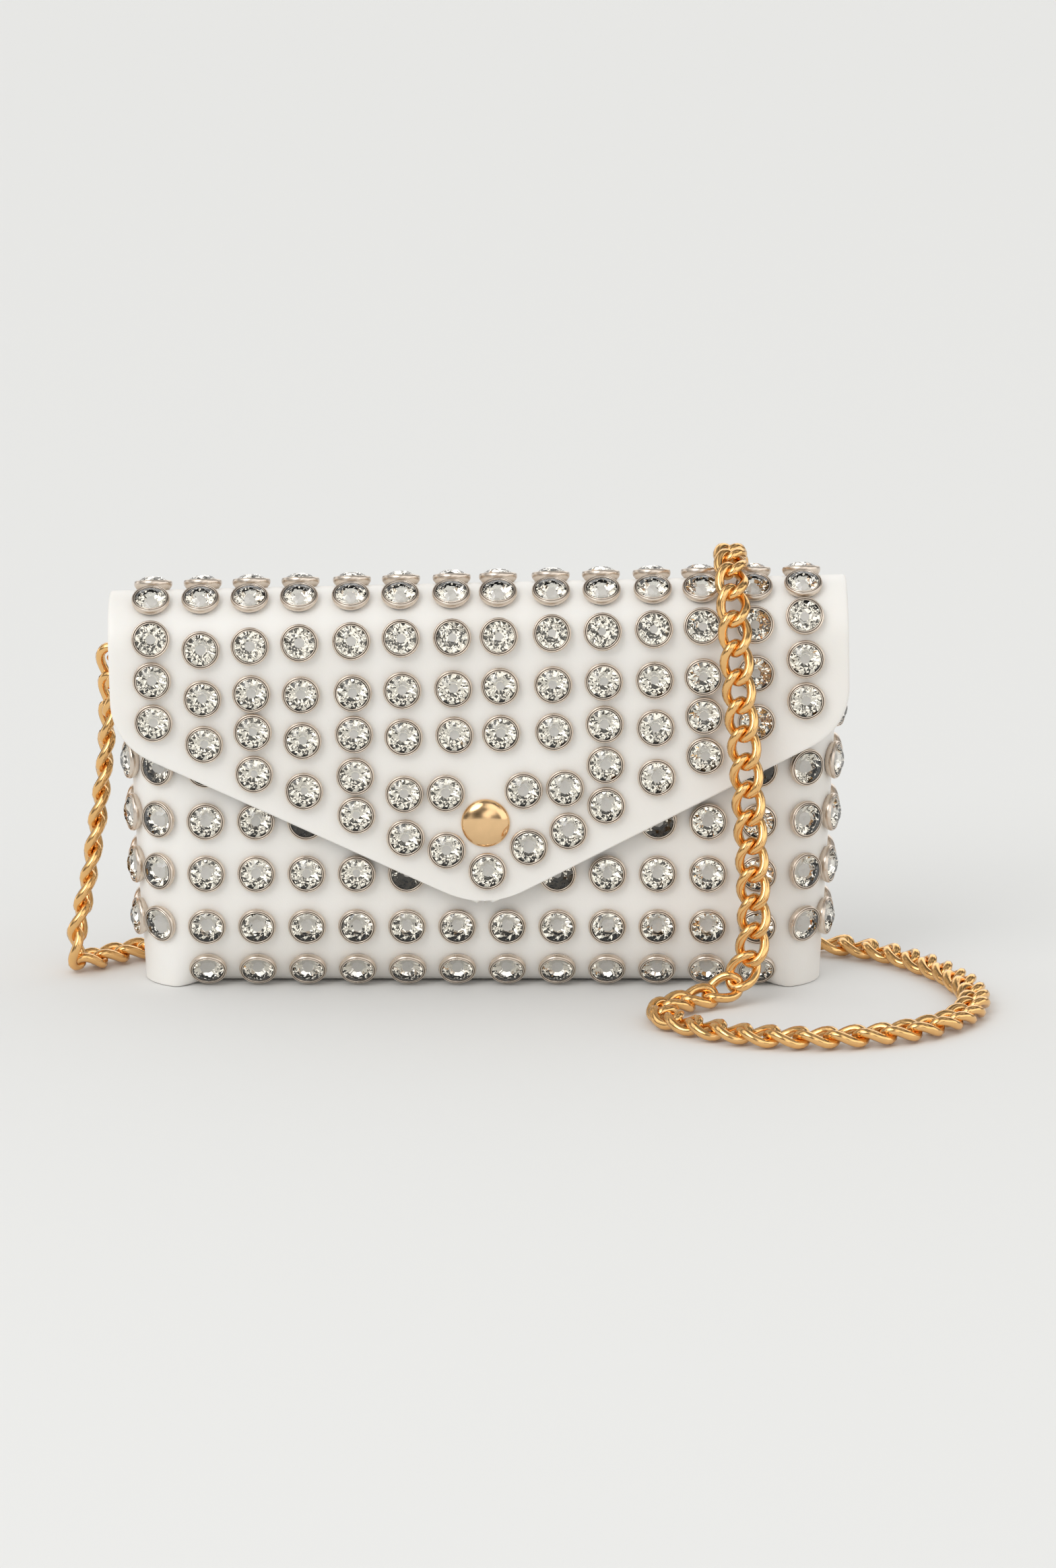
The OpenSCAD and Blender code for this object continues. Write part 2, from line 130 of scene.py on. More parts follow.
def sheet_solid(name, outer, inner, mats, edge_mat, k=4):
    """A closed sheet between two grids of points, its four edges rounded."""
    outer, inner = np.asarray(outer, float), np.asarray(inner, float)
    m, n = outer.shape[:2]
    ring = [(0, j) for j in range(n)] + [(i, n - 1) for i in range(1, m)]
    ring += [(m - 1, j) for j in range(n - 2, -1, -1)] + [(i, 0) for i in range(m - 2, 0, -1)]
    mid = (outer + inner) / 2

    def away(i, j):
        a = mid[1, j] if i == 0 else mid[m - 2, j] if i == m - 1 else None
        b = mid[i, 1] if j == 0 else mid[i, n - 2] if j == n - 1 else None
        out = np.zeros(3)
        for q in (a, b):
            if q is not None:
                out += unit(mid[i, j] - q)
        o = outer[i, j] - inner[i, j]
        out -= o * (out @ o) / max(o @ o, 1e-9)
        return unit(out)

    verts = list(outer.reshape(-1, 3)) + list(inner.reshape(-1, 3))
    far = m * n
    faces, index = [], []
    # the faces look out of the outer grid
    a, b, c = outer[m // 2, n // 2], outer[m // 2, n // 2 + 1], outer[m // 2 + 1, n // 2]
    flip = np.cross(b - a, c - a) @ (a - inner[m // 2, n // 2]) < 0

    def quad(p, q, r, s, mat):
        faces.append((s, r, q, p) if flip else (p, q, r, s))
        index.append(mat)

    for i in range(m - 1):
        for j in range(n - 1):
            p = i * n + j
            quad(p, p + 1, p + n + 1, p + n, 0)
            quad(far + p, far + p + n, far + p + n + 1, far + p + 1, 1)
    rows = [[i * n + j for i, j in ring]]
    for s in range(1, k):
        th = math.pi * s / k
        row = []
        for i, j in ring:
            c0 = mid[i, j]
            r = np.linalg.norm(outer[i, j] - inner[i, j]) / 2
            verts.append(c0 + (outer[i, j] - c0) * math.cos(th) + away(i, j) * r * math.sin(th))
            row.append(len(verts) - 1)
        rows.append(row)
    rows.append([far + i * n + j for i, j in ring])
    for s in range(k):
        for q in range(len(ring)):
            w = (q + 1) % len(ring)
            mat = 0 if s < k * OUTER_SHARE else 2
            quad(rows[s][w], rows[s][q], rows[s + 1][q], rows[s + 1][w], mat)
    return mesh(name, verts, faces, [*mats, edge_mat], index)


def lathe(profile, sides):
    """Points and faces of a profile of (radius, height) turned about +Z."""
    p = np.asarray(profile, float)
    ang = np.arange(sides) * 2 * math.pi / sides
    verts = np.array([[r * math.cos(a), r * math.sin(a), h] for r, h in p for a in ang])
    faces = []
    for i in range(len(p) - 1):
        for j in range(sides):
            a, b = i * sides + j, i * sides + (j + 1) % sides
            faces.append((a, b, b + sides, a + sides))
    return verts, faces


def stamp(name, proto, places, mats, index=None, shade=True, spin=False):
    """One mesh of copies of a small piece, each on a place and pointing along its normal."""
    pv, pf = proto
    pv = np.asarray(pv, float)
    verts, faces, ids = [], [], []
    for k, (pos, nrm) in enumerate(places):
        z = unit(nrm)
        x = unit(np.cross([0, 0, 1], z) if abs(z[2]) < 0.95 else np.cross([0, 1, 0], z))
        y = np.cross(z, x)
        a = rng.uniform(0, 2 * math.pi) if spin else 0.0
        off = rng.normal(0, 0.02, 2) if spin else (0, 0)
        z = unit(z + off[0] * x + off[1] * y)
        x = unit(math.cos(a) * x + math.sin(a) * y)
        x = unit(x - z * (x @ z))
        y = np.cross(z, x)
        m = np.stack([x, y, z], 1)
        base = len(pv) * k
        verts.append(pv @ m.T + np.asarray(pos))
        faces += [tuple(base + q for q in f) for f in pf]
        if index is not None:
            ids += list(index)
    return mesh(name, np.concatenate(verts), faces, mats, ids or None, shade)


# ------------------------------------------------------------------ materials
def nodes_of(name):
    m = bpy.data.materials.new(name)
    m.use_nodes = True
    nt = m.node_tree
    return m, nt, nt.nodes["Principled BSDF"]


def set_in(bsdf, **kw):
    for key, val in kw.items():
        bsdf.inputs[key.replace("_", " ")].default_value = val


def noise(nt, scale, detail=3.0, rough=0.5):
    tc = nt.nodes.new("ShaderNodeTexCoord")
    n = nt.nodes.new("ShaderNodeTexNoise")
    n.inputs["Scale"].default_value = scale
    n.inputs["Detail"].default_value = detail
    n.inputs["Roughness"].default_value = rough
    nt.links.new(tc.outputs["Object"], n.inputs["Vector"])
    return n


def ramp(nt, source, stops):
    r = nt.nodes.new("ShaderNodeValToRGB")
    while len(r.color_ramp.elements) < len(stops):
        r.color_ramp.elements.new(0.5)
    for e, (pos, col) in zip(r.color_ramp.elements, stops):
        e.position = pos
        e.color = (*col, 1) if len(col) == 3 else col
    nt.links.new(source, r.inputs["Fac"])
    return r


def bump(nt, bsdf, height, strength, distance):
    b = nt.nodes.new("ShaderNodeBump")
    b.inputs["Strength"].default_value = strength
    b.inputs["Distance"].default_value = distance
    nt.links.new(height, b.inputs["Height"])
    nt.links.new(b.outputs["Normal"], bsdf.inputs["Normal"])


def grey_ramp(nt, source, stops):
    return ramp(nt, source, [(pos, (v,) * 3) for pos, v in stops])


def add_up(nt, source, factor, rest):
    """source * factor + rest"""
    m = nt.nodes.new("ShaderNodeMath")
    m.operation = "MULTIPLY_ADD"
    m.inputs[1].default_value = factor
    nt.links.new(source, m.inputs[0])
    nt.links.new(rest, m.inputs[2])
    return m.outputs[0]


def leather_material(name, colour, rough=0.4):
    m, nt, b = nodes_of(name)
    set_in(b, Roughness=rough)
    b.inputs["Specular IOR Level"].default_value = 0.45
    b.inputs["Subsurface Weight"].default_value = 0.06
    b.inputs["Subsurface Radius"].default_value = (0.004, 0.003, 0.002)
    b.inputs["Subsurface Scale"].default_value = 0.5
    c = np.array(colour)
    patch = noise(nt, 26, 4, 0.55)
    dull, clean = c * np.array([0.975, 0.965, 0.95]), np.minimum(c * 1.02, 1)
    r = ramp(nt, patch.outputs["Fac"], [(0.3, dull), (0.7, clean)])
    nt.links.new(r.outputs["Color"], b.inputs["Base Color"])
    tc = nt.nodes.new("ShaderNodeTexCoord")
    v = nt.nodes.new("ShaderNodeTexVoronoi")
    v.feature = "DISTANCE_TO_EDGE"
    v.inputs["Scale"].default_value = 1500
    nt.links.new(tc.outputs["Object"], v.inputs["Vector"])
    fine = noise(nt, 900, 3, 0.6)
    wave = noise(nt, 60, 3, 0.5)
    grain = add_up(nt, v.outputs["Distance"], 0.5, fine.outputs["Fac"])
    bump(nt, b, add_up(nt, wave.outputs["Fac"], 3.0, grain), 0.25, 0.00012)
    sheen = noise(nt, 180, 3)
    rr = grey_ramp(nt, sheen.outputs["Fac"], [(0.3, rough - 0.06), (0.7, rough + 0.08)])
    nt.links.new(rr.outputs["Color"], b.inputs["Roughness"])
    return m


def metal_material(name, colour, rough=0.16, wear=0.05):
    m, nt, b = nodes_of(name)
    set_in(b, Metallic=1.0, Roughness=rough)
    c = np.array(colour)
    n = noise(nt, 300, 3)
    r = ramp(nt, n.outputs["Fac"], [(0.3, c * 0.95), (0.7, np.minimum(c * 1.04, 1))])
    nt.links.new(r.outputs["Color"], b.inputs["Base Color"])
    n2 = noise(nt, 700, 4, 0.6)
    rr = grey_ramp(nt, n2.outputs["Fac"], [(0.35, rough), (0.75, rough + wear)])
    nt.links.new(rr.outputs["Color"], b.inputs["Roughness"])
    bump(nt, b, n2.outputs["Fac"], 0.06, 0.00008)
    return m


def cloth_material(name, colour):
    m, nt, b = nodes_of(name)
    set_in(b, Roughness=0.85)
    b.inputs["Sheen Weight"].default_value = 0.3
    c = np.array(colour)
    tc = nt.nodes.new("ShaderNodeTexCoord")
    outs = []
    for way in ("X", "Z"):
        w = nt.nodes.new("ShaderNodeTexWave")
        w.bands_direction = way
        w.inputs["Scale"].default_value = 420
        w.inputs["Distortion"].default_value = 1.0
        nt.links.new(tc.outputs["Object"], w.inputs["Vector"])
        outs.append(w)
    mix = nt.nodes.new("ShaderNodeMath")
    mix.operation = "MAXIMUM"
    nt.links.new(outs[0].outputs["Fac"], mix.inputs[0])
    nt.links.new(outs[1].outputs["Fac"], mix.inputs[1])
    r = ramp(nt, mix.outputs[0], [(0.2, c * 0.7), (0.9, c * 1.2)])
    nt.links.new(r.outputs["Color"], b.inputs["Base Color"])
    bump(nt, b, mix.outputs[0], 0.3, 0.0002)
    return m


def plain(name, colour, rough=0.5, metallic=0.0):
    m, _, b = nodes_of(name)
    set_in(b, Base_Color=(*colour, 1), Roughness=rough, Metallic=metallic)
    return m


LEATHER = leather_material("white leather", (0.87, 0.852, 0.82))
# near-black for the half of the flap's rounded edge that turns towards its underside, drawing a
# thin dark line along the flap's lower edge
DARK_EDGE = leather_material("dark flap edge", (0.12, 0.10, 0.09), 0.5)
UNDER = leather_material("flap underside", (0.30, 0.29, 0.28), 0.55)
LINING = cloth_material("lining cloth", (0.17, 0.155, 0.145))
BOARD = plain("board", (0.35, 0.28, 0.2), 0.8)
NICKEL = metal_material("champagne nickel", (0.76, 0.665, 0.57), 0.27)
# near-black metal for the studs' grooves and seats: painted shade in these hollows
GROOVE_SHADE = plain("groove", (0.13, 0.10, 0.075), 0.5, 0.6)
GOLD = metal_material("gold plate", (0.90, 0.545, 0.225), 0.15)
PALE_GOLD = metal_material("snap gold", (0.90, 0.60, 0.32), 0.12)
FOIL = plain("foil", (0.87, 0.85, 0.80), 0.03, 1.0)
CROWN, _, glass = nodes_of("cut glass")
set_in(glass, Base_Color=(0.98, 0.975, 0.96, 1), Roughness=0.0, IOR=1.6, Transmission_Weight=1.0)

# ------------------------------------------------------------------ camera
scene = bpy.context.scene
cam_data = bpy.data.cameras.new("camera")
cam = bpy.data.objects.new("camera", cam_data)
scene.collection.objects.link(cam)
CAM_EL, CAM_D = math.radians(12.4), 1.5
VIEW_W = 0.4045                               # how wide the view is at the aim, in m
AIM = Vector((0.0119, -0.020, 0.0554))
cam.location = AIM + Vector((0, -math.cos(CAM_EL), math.sin(CAM_EL))) * CAM_D
cam.rotation_euler = (AIM - cam.location).to_track_quat("-Z", "Y").to_euler()
cam_data.sensor_width = 36
cam_data.lens = cam_data.sensor_width * CAM_D / VIEW_W
cam_data.clip_end = 100
scene.camera = cam
scene.view_settings.view_transform = "Standard"


# ------------------------------------------------------------------ chains
def spline(points, step=0.4):
    """A smooth line through the points, sampled at about the step, with its running length."""
    p = np.asarray(points, float)
    ext = np.vstack([2 * p[0] - p[1], p, 2 * p[-1] - p[-2]])
    out = []
    for i in range(1, len(ext) - 2):
        a, b, c, d = ext[i - 1 : i + 3, :]
        ta = np.linalg.norm(b[:3] - a[:3]) ** 0.5
        tb = np.linalg.norm(c[:3] - b[:3]) ** 0.5
        tc = np.linalg.norm(d[:3] - c[:3]) ** 0.5
        m1 = (c - b) + tb * ((b - a) / ta - (c - a) / (ta + tb))
        m2 = (c - b) + tb * ((d - c) / tc - (d - b) / (tb + tc))
        n = max(4, int(np.linalg.norm(c[:3] - b[:3]) / step))
        for t in np.arange(n) / n:
            out.append(
                (2 * t**3 - 3 * t**2 + 1) * b + (t**3 - 2 * t**2 + t) * m1
                + (-2 * t**3 + 3 * t**2) * c + (t**3 - t**2) * m2
            )
    out.append(ext[-2])
    out = np.array(out)
    run = np.concatenate([[0], np.cumsum(np.linalg.norm(np.diff(out[:, :3], axis=0), axis=1))])
    return out, run


def at(line, run, s):
    return np.array([np.interp(s, run, line[:, k]) for k in range(line.shape[1])])


def chain(name, points):
    """Curb links along a line of (x, y, z, flat side's normal x, y, z)."""
    line, run = spline(points)
    total = run[-1]
    a, r = (PITCH + WIRE) / 2, WIRE / 2
    t = np.arange(LINK_STEPS) * 2 * math.pi / LINK_STEPS
    x = a * np.sign(np.cos(t)) * np.abs(np.cos(t)) ** 0.92
    y0 = LINK_HALF_W * np.sin(t)
    al = LINK_TWIST * x / a
    loop = np.stack([x, y0 * np.cos(al), y0 * np.sin(al) * 0.95], 1)
    tan = np.roll(loop, -1, 0) - np.roll(loop, 1, 0)
    tan /= np.linalg.norm(tan, axis=1)[:, None]
    rad = loop / np.linalg.norm(loop, axis=1)[:, None]
    rad -= tan * np.sum(rad * tan, 1)[:, None]
    rad /= np.linalg.norm(rad, axis=1)[:, None]
    bin_ = np.cross(tan, rad)
    ph = np.arange(WIRE_SIDES) * 2 * math.pi / WIRE_SIDES
    co, si = np.cos(ph)[None, :, None], np.sin(ph)[None, :, None]
    link = (loop[:, None, :] + r * (co * rad[:, None, :] + si * bin_[:, None, :])).reshape(-1, 3)
    quads = []
    for i in range(LINK_STEPS):
        for j in range(WIRE_SIDES):
            p, q = i * WIRE_SIDES, (i + 1) % LINK_STEPS * WIRE_SIDES
            j2 = (j + 1) % WIRE_SIDES
            quads.append((p + j, q + j, q + j2, p + j2))
    count = int(round((total - WIRE) / PITCH))
    step = (total - WIRE) / count
    verts, faces = [], []
    for k in range(count):
        s = WIRE / 2 + (k + 0.5) * step
        c = at(line, run, s)
        fore = at(line, run, min(s + step / 2, total))[:3]
        aft = at(line, run, max(s - step / 2, 0))[:3]
        d, mid = unit(fore - aft), (fore + aft) / 2
        nrm = unit(c[3:6] - d * (c[3:6] @ d))
        side = np.cross(nrm, d)
        w = math.radians(rng.normal(0, 3))
        face = math.cos(w) * nrm + math.sin(w) * side
        m = np.stack([d, math.cos(w) * side - math.sin(w) * nrm, face], 1)
        base = len(verts) * len(link)
        verts.append((link * [step / PITCH, 1, 1]) @ m.T + (c[:3] + mid) / 2)
        faces += [tuple(base + q for q in f) for f in quads]
    return mesh(name, np.concatenate(verts), faces, [GOLD]), line[:, :3], total


FLOOR_Z = 2.7         # the chain's middle where it lies on the ground
UP = (0, 0, 1)
FWD = (0, -1, 0.1)
left_points = [
    (-97.8, 11.5, 85.3, 0.5, 1, 0), (-97.9, 11.3, 77.5, 0.9, 0.6, 0), (-98.4, 10.8, 68, 1, 0.3, 0),
    (-99.4, 9.6, 55, 1, 0.1, 0), (-101.2, 7.8, 41, 1, 0, 0), (-103.4, 5.4, 27, 1, 0, 0),
    (-106.0, 2.4, 14, 1, 0, 0.2), (-107.4, 0.6, 6.5, 0.9, 0, 0.5), (-106.3, 1.4, 3.2, 0.3, 0, 1),
    (-102.4, 6, FLOOR_Z, *UP),
    (-97, 11.5, FLOOR_Z, *UP), (-90, 17, FLOOR_Z, *UP), (-81, 22.5, FLOOR_Z, *UP),
    (-70, 26, FLOOR_Z, *UP), (-55, 28, FLOOR_Z, *UP), (-36, 27.5, FLOOR_Z, *UP),
    (-16, 26.5, FLOOR_Z, *UP), (4, 27, FLOOR_Z, *UP), (24, 28, FLOOR_Z, *UP),
    (44, 28.5, FLOOR_Z, *UP), (62, 28, FLOOR_Z, *UP), (77, 26, FLOOR_Z, *UP),
    (88.5, 22.6, FLOOR_Z, *UP),
]
right_points = [
    (88.5, 22.6, FLOOR_Z, *UP), (98, 18.6, FLOOR_Z, *UP), (108, 10.5, FLOOR_Z, *UP),
    (117, -2, FLOOR_Z, *UP), (123.3, -16, FLOOR_Z, *UP), (126.5, -31, FLOOR_Z, *UP),
    (125.2, -46, FLOOR_Z, *UP), (119, -59, FLOOR_Z, *UP), (108.5, -68.5, FLOOR_Z, *UP),
    (96, -74, FLOOR_Z, *UP), (83, -76, FLOOR_Z, *UP), (70, -74, FLOOR_Z, *UP),
    (58.5, -68, FLOOR_Z, *UP), (49.5, -60, FLOOR_Z, *UP), (45.8, -52, FLOOR_Z, *UP),
    (48, -44.5, FLOOR_Z, *UP), (54, -38.5, 2.9, 0, -0.2, 1), (61, -34.5, 3.8, 0.2, -0.5, 0.9),
    (67, -32, 7.5, 0.3, -1, 0.6), (69.8, -30.8, 15, *FWD), (69.9, -30.3, 27, *FWD),
    (69.3, -30.3, 40, *FWD), (68.4, -30.4, 53, *FWD), (67.3, -31, 66, *FWD),
    (66, -31.4, 79, *FWD), (65, -31.0, 91, 0, -1, 0.2), (64.4, -28, 101.2, 0, -1, 0.6),
    (64, -20.2, 109.8, 0, -0.5, 1), (64, -8.4, 113.4, *UP), (64.5, 3, 111, 0, 0.5, 1),
    (66, 10.8, 104.3, 0, 1, 0.5), (69, 14.2, 96.3, 0, 1, 0.3),
    (71.1, 15, 89.6, 0, 1, 0.2), (75.2, 13.9, 84.4, 0, 0.6, 0.8), (79.3, 12.4, 82, 0, 1, 0),
]
chain_left, left_line, left_len = chain("chain_left", left_points)
chain_right, right_line, right_len = chain("chain_right", right_points)
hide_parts("strap_chain_left")
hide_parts("strap_chain_right")
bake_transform(chain_left)
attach(chain_right, "strap_right")


# ------------------------------------------------------------------ stud places
def half_width(z):
    return (BASE_W + (BODY_W - BASE_W) * z / MOUTH_H) / 2


def share(s):
    return (BASE_D / 2 + (HALF_D - BASE_D / 2) * np.sin(s)) / HALF_D


def lean(side, z):
    """How far the back wall leans in towards the mouth."""
    return 0.0 if side < 0 else LEAN * np.maximum(0, z - ROLL_H) / (MOUTH_H - ROLL_H)


LEAN_TURN = math.atan(LEAN / (MOUTH_H - ROLL_H))


def face_places(side):
    out = []
    for r, h in enumerate(ROW_H):
        for i in range(COLS):
            if side < 0 and r == SNAP_ROW and abs(COL_X[i]) < COL_PITCH:
                continue   # the snap sits here
            dip = LOW_DIP if r == 0 else 0.0 if side < 0 else -LEAN_TURN
            if i in (0, COLS - 1):
                way = -1 if i == 0 else 1
                cx = half_width(h) - SIDE_R
                bend = math.asin((OUTER_X - cx) / (SIDE_R + 2))
                x = way * (cx + SIDE_R * math.sin(bend))
                y = HALF_D - SIDE_R + SIDE_R * math.cos(bend)
                n = v3(way * math.sin(bend), side * math.cos(bend), -math.tan(dip))
            else:
                x, y = COL_X[i], HALF_D
                n = v3(0, side, -math.tan(dip))
            y_in = LOW_SINK if r == 0 else lean(side, h) * y / HALF_D
            out.append((v3(x, side * (y - y_in), h), unit(n)))
    z = ROLL_H * (1 - math.cos(LOW_S))
    tilt = math.atan((math.cos(LOW_S) / ROLL_H) / (math.sin(LOW_S) / (HALF_D - BASE_D / 2)))
    n = v3(0, side * math.cos(tilt), -math.sin(tilt))
    out += [(v3(x, side * HALF_D * share(LOW_S), z), n) for x in COL_X[1:-1]]
    return out


def side_places(way):
    out = []
    for h in ROW_H:
        for deg in SIDE_DEG:
            a = math.radians(deg)
            cx = half_width(h) - SIDE_R
            cy = -(HALF_D - SIDE_R) if deg < 90 else HALF_D - SIDE_R
            y = cy - math.cos(a) * SIDE_R
            y -= lean(1 if y > 0 else -1, h) * y / HALF_D
            x = way * (cx + SIDE_R * math.sin(a))
            out.append((v3(x, y, h), v3(way * math.sin(a), -math.cos(a), 0)))
    return out


def sloped(p, direction=False):
    """The flap's slope: a turn about the depth axis at the mouth's height, right end up."""
    p = np.asarray(p, float)
    z = p[..., 2] - (0 if direction else MOUTH_H)
    x2 = p[..., 0] * math.cos(SLOPE) - z * math.sin(SLOPE) + (0 if direction else FLAP_X)
    z2 = p[..., 0] * math.sin(SLOPE) + z * math.cos(SLOPE)
    return np.stack([x2, p[..., 1], z2 + (0 if direction else MOUTH_H)], -1)


def fold_place(x, a):
    a = math.radians(a)
    return (v3(x, FOLD_Y - FOLD_R * math.cos(a), MOUTH_H + FOLD_R * math.sin(a)),
            v3(0, -math.cos(a), math.sin(a)))


def on_slope(places):
    return [(sloped(p), sloped(n, True)) for p, n in places]


def flap_front_places():
    out = []
    spots = [(c[0], h) for c in FLAP_COLS for h in c[1:]] + FLAP_POINT
    for x, h in spots:
        if h <= MOUTH_H:
            out.append((v3(x, FRONT_Y, h), v3(0, -1, 0)))
        else:
            out.append(fold_place(x, math.degrees(math.asin((h - MOUTH_H) / FOLD_R))))
    for c in FLAP_COLS:
        out.append(fold_place(c[0], FOLD_ROW + (FOLD_ROW_END if c[0] > END_X else 0)))
    return on_slope(out)


def flap_top_places():
    return on_slope([
        fold_place(c[0], a) for c in FLAP_COLS for a in CREST_ROWS
        if a == CREST_ROWS[0] or abs(c[0]) < END_X
    ])


GROUPS = {
    "front": (face_places(-1), "pouch"), "back": (face_places(1), "pouch"),
    "side_left": (side_places(-1), "pouch"), "side_right": (side_places(1), "pouch"),
    "flap": (flap_front_places(), "flap_face"), "flap_top": (flap_top_places(), "flap_roof"),
}
NODE_OF = {
    "front": ("front_settings", "front_stones"), "back": ("back_settings", "back_stones"),
    "side_left": ("side_settings_left", "side_stones_left"),
    "side_right": ("side_settings_right", "side_stones_right"),
    "flap": ("flap_settings", "flap_stones"), "flap_top": ("flap_top_settings", "flap_top_stones"),
}
# a stud's setting, as (radius, height) from the leather out: the cup, its rim, the groove inside
# the rim, and the seat of the stone; the groove and the seat are coloured dark, painted shade
CUP = [
    (3.9, -0.3), (4.5, 0.3), (4.84, 0.85), (4.95, 1.35), (4.93, 1.75), (4.82, 2.05), (4.66, 2.2),
    (4.52, 2.14), (4.45, 1.85), (4.36, 2.08), (4.24, 2.26), (4.1, 2.26), (4.03, 2.1),
    (3.98, 1.6), (3.3, 1.2),
]
SHADED_RINGS = (7, 8, 12, 13)
CUP_SIDES = 28


def brilliant():
    """A crown of 33 facets over a foiled pavilion whose 16 ridges run from point to girdle."""
    # radius and height of the table, the kites' corners (rk), the girdle, and the point (za)
    rt, zt, rk, rg, zg, za = 1.95, 3.3, 2.85, 3.98, 2.15, -1.15
    rm, ridge = 2.1, 0.07   # the pavilion's middle ring, and how far its ridges stand out
    zk = zt - (rk * math.cos(math.pi / 8) - rt) / (rg - rt) * (zt - zg)
    p8, p16 = math.pi / 4, math.pi / 8
    verts = [(rt * math.cos(i * p8), rt * math.sin(i * p8), zt) for i in range(8)]
    verts += [(rk * math.cos(i * p8 + p16), rk * math.sin(i * p8 + p16), zk) for i in range(8)]
    verts += [(rg * math.cos(j * p16), rg * math.sin(j * p16), zg) for j in range(16)]
    for j in range(16):
        zm = za + (zg - za) * rm / rg + (ridge if j % 2 else -ridge)
        verts.append((rm * math.cos(j * p16), rm * math.sin(j * p16), zm))
    verts.append((0, 0, za))
    faces, index = [tuple(range(8))], [0]
    for i in range(8):
        t0, t1, k0, km = i, (i + 1) % 8, 8 + i, 8 + (i - 1) % 8
        g0, g1, g2 = 16 + 2 * i, 16 + (2 * i + 1) % 16, 16 + (2 * i + 2) % 16
        faces += [(t0, k0, t1), (t0, km, g0, k0), (k0, g0, g1), (k0, g1, g2)]
        index += [0] * 4
    for j in range(16):
        n = (j + 1) % 16
        faces += [(48, 32 + n, 32 + j), (32 + j, 32 + n, 16 + j), (32 + n, 16 + n, 16 + j)]
        index += [1] * 3
    return (verts, faces), index


cup_proto = lathe(CUP, CUP_SIDES)
# the rings of the groove and of the seat take the near-black metal, painted shade
cup_index = [int(k in SHADED_RINGS) for k in range(len(CUP) - 1) for _ in range(CUP_SIDES)]
stone_proto, stone_index = brilliant()
for key, (places, body) in GROUPS.items():
    cups = stamp(key + "_cups", cup_proto, places, [NICKEL, GROOVE_SHADE], cup_index)
    gems = stamp(
        key + "_gems", stone_proto, places, [CROWN, FOIL], stone_index, shade=False, spin=True
    )
    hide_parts(NODE_OF[key][0])
    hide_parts(NODE_OF[key][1])
    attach(cups, body)
    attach(gems, body)


def pucker(p, studs, depth=0.16):
    """How far the leather sinks under and round the studs near a point."""
    flat_r, spread, reach = 3.2, 3.4, 5
    d = np.zeros(p.shape[:-1])
    for pos, n in studs:
        q = p - pos
        off = q - (q @ n)[..., None] * n
        rho = np.linalg.norm(off, axis=-1)
        near = np.abs(q @ n) < reach
        d = np.maximum(d, np.where(near, np.exp(-np.maximum(rho - flat_r, 0) ** 2 / spread), 0))
    return -d * depth


# ------------------------------------------------------------------ pouch shells and linings
def outline(inset, step=1.5):
    w, d, r = BODY_W / 2 - inset, HALF_D - inset, SIDE_R - inset
    pts = [(-w, 0.0), (-w, (d - r) * 0.5)] if d - r > 0.3 else [(-w, 0.0)]
    arc = np.linspace(0, math.pi / 2, 17)
    pts += [(-(w - r) - r * math.cos(a), (d - r) + r * math.sin(a)) for a in arc]
    n = int(2 * (BODY_W / 2 - SIDE_R) / step)
    pts += [(-(w - r) + 2 * (w - r) * k / n, d) for k in range(1, n)]
    pts += [((w - r) + r * math.sin(a), (d - r) + r * math.cos(a)) for a in arc]
    pts += [(w, (d - r) * 0.5), (w, 0.0)] if d - r > 0.3 else [(w, 0.0)]
    return np.array(pts)


def shell_grid(inset, side, low, top):
    o = outline(inset)
    corner = 1 - FOOT_OUT * smooth(FOOT_FROM, FOOT_TO, np.abs(o[:, 0]))
    rows = []

    def row(z, s, rise=0):
        """One line of points; the back wall's top edge rises with the flap's slope."""
        k = 1 - (1 - share(s)) * corner - lean(side, z) / (HALF_D - inset)
        zz = z + (o[:, 0] * math.tan(SLOPE) * rise if side > 0 else 0 * o[:, 0])
        return np.stack([o[:, 0] * half_width(z) / (BODY_W / 2), side * o[:, 1] * k, zz], 1)

    first = row(low, 0.0)
    first[:, 1] = side * 0.0
    rows.append(first)
    half = row(low, 0.0)
    half[:, 1] *= 0.6
    rows.append(half)
    for s in np.radians(np.concatenate([[0, 5, 10], np.linspace(15, 90, 19)])):
        rows.append(row(low + (ROLL_H - low) * (1 - math.cos(s)), s))
    n = int((top - ROLL_H) / 1.5)
    for k in range(1, n + 1):
        rows.append(row(ROLL_H + (top - ROLL_H) * k / n, math.pi / 2, max(0, k / n * 3 - 2)))
    return np.array(rows)


def normals_of(grid, side):
    du = np.gradient(grid, axis=1)
    dv = np.gradient(grid, axis=0)
    n = np.cross(du, dv)
    n /= np.maximum(np.linalg.norm(n, axis=-1), 1e-9)[..., None]
    mid = grid.shape[0] * 3 // 4, grid.shape[1] // 2
    return n if n[mid][1] * side > 0 else -n


def pouch_half(name, side, studs, top):
    outer = shell_grid(0, side, 0, top - T / 2)
    inner = shell_grid(T, side, T, top - T / 2)
    n = normals_of(outer, side)
    d = pucker(outer, studs)
    x, z = outer[..., 0], outer[..., 2]
    wave = 0.25 * np.sin(x / 23 + 1.1 * side) * np.sin(z / 31 + 0.4)
    wave = wave * smooth(8, 30, z) * smooth(top, top - 20, z)
    outer = outer + n * (d * smooth(1.0, 4.0, z) + wave)[..., None]
    return sheet_solid(name, outer, inner, [LEATHER, LEATHER], LEATHER)


